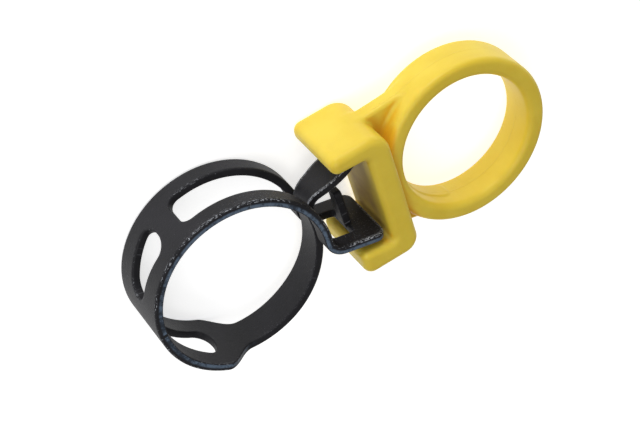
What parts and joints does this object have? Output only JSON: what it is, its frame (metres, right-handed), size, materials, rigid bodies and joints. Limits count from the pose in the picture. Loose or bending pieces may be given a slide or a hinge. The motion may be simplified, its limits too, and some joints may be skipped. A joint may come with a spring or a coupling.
{
  "type": "spring band hose clamp",
  "caption": "Pre-opened spring steel band hose clamp, held open by a moulded pull-off retainer with a finger ring.",
  "frame": {"origin": "centre of the band's bore, at half the band's width", "axes": "+Z along the hose axis, +X from the bore to the finger ring, which is the way the retainer pulls off"},
  "size_m": [0.0852, 0.0362, 0.0156],
  "materials": {
    "spring_steel": "dark phosphate and oil on spring steel, bright wear along the sheared edges",
    "yellow_nylon": "injection-moulded, satin, slightly translucent yellow"
  },
  "bodies": {
    "band": {"band_back": "spring_steel"},
    "slotted_arm": {"slotted_arm": "spring_steel"},
    "tongue_arm": {"tongue_arm": "spring_steel"},
    "retainer": {"retainer_clip": "yellow_nylon"}
  },
  "joints": [
    {"name": "clip_pull", "type": "slide", "parent": "band", "child": "retainer", "axis": [1, 0, 0], "range_m": [0, 0.08]},
    {"name": "leg_close", "type": "hinge", "parent": "band", "child": "slotted_arm", "pos_m": [-0.014, 0.01017, 0], "axis": [0, 0, -1], "range_deg": [0, 7]},
    {"name": "tongue_close", "type": "hinge", "parent": "band", "child": "tongue_arm", "pos_m": [-0.014, -0.01017, 0], "axis": [0, 0, 1], "range_deg": [0, 7]}
  ],
  "couplings": [
    {"joint": "leg_close", "follows": "clip_pull", "rad_per_m": 1.5},
    {"joint": "tongue_close", "follows": "clip_pull", "rad_per_m": 1.5}
  ]
}
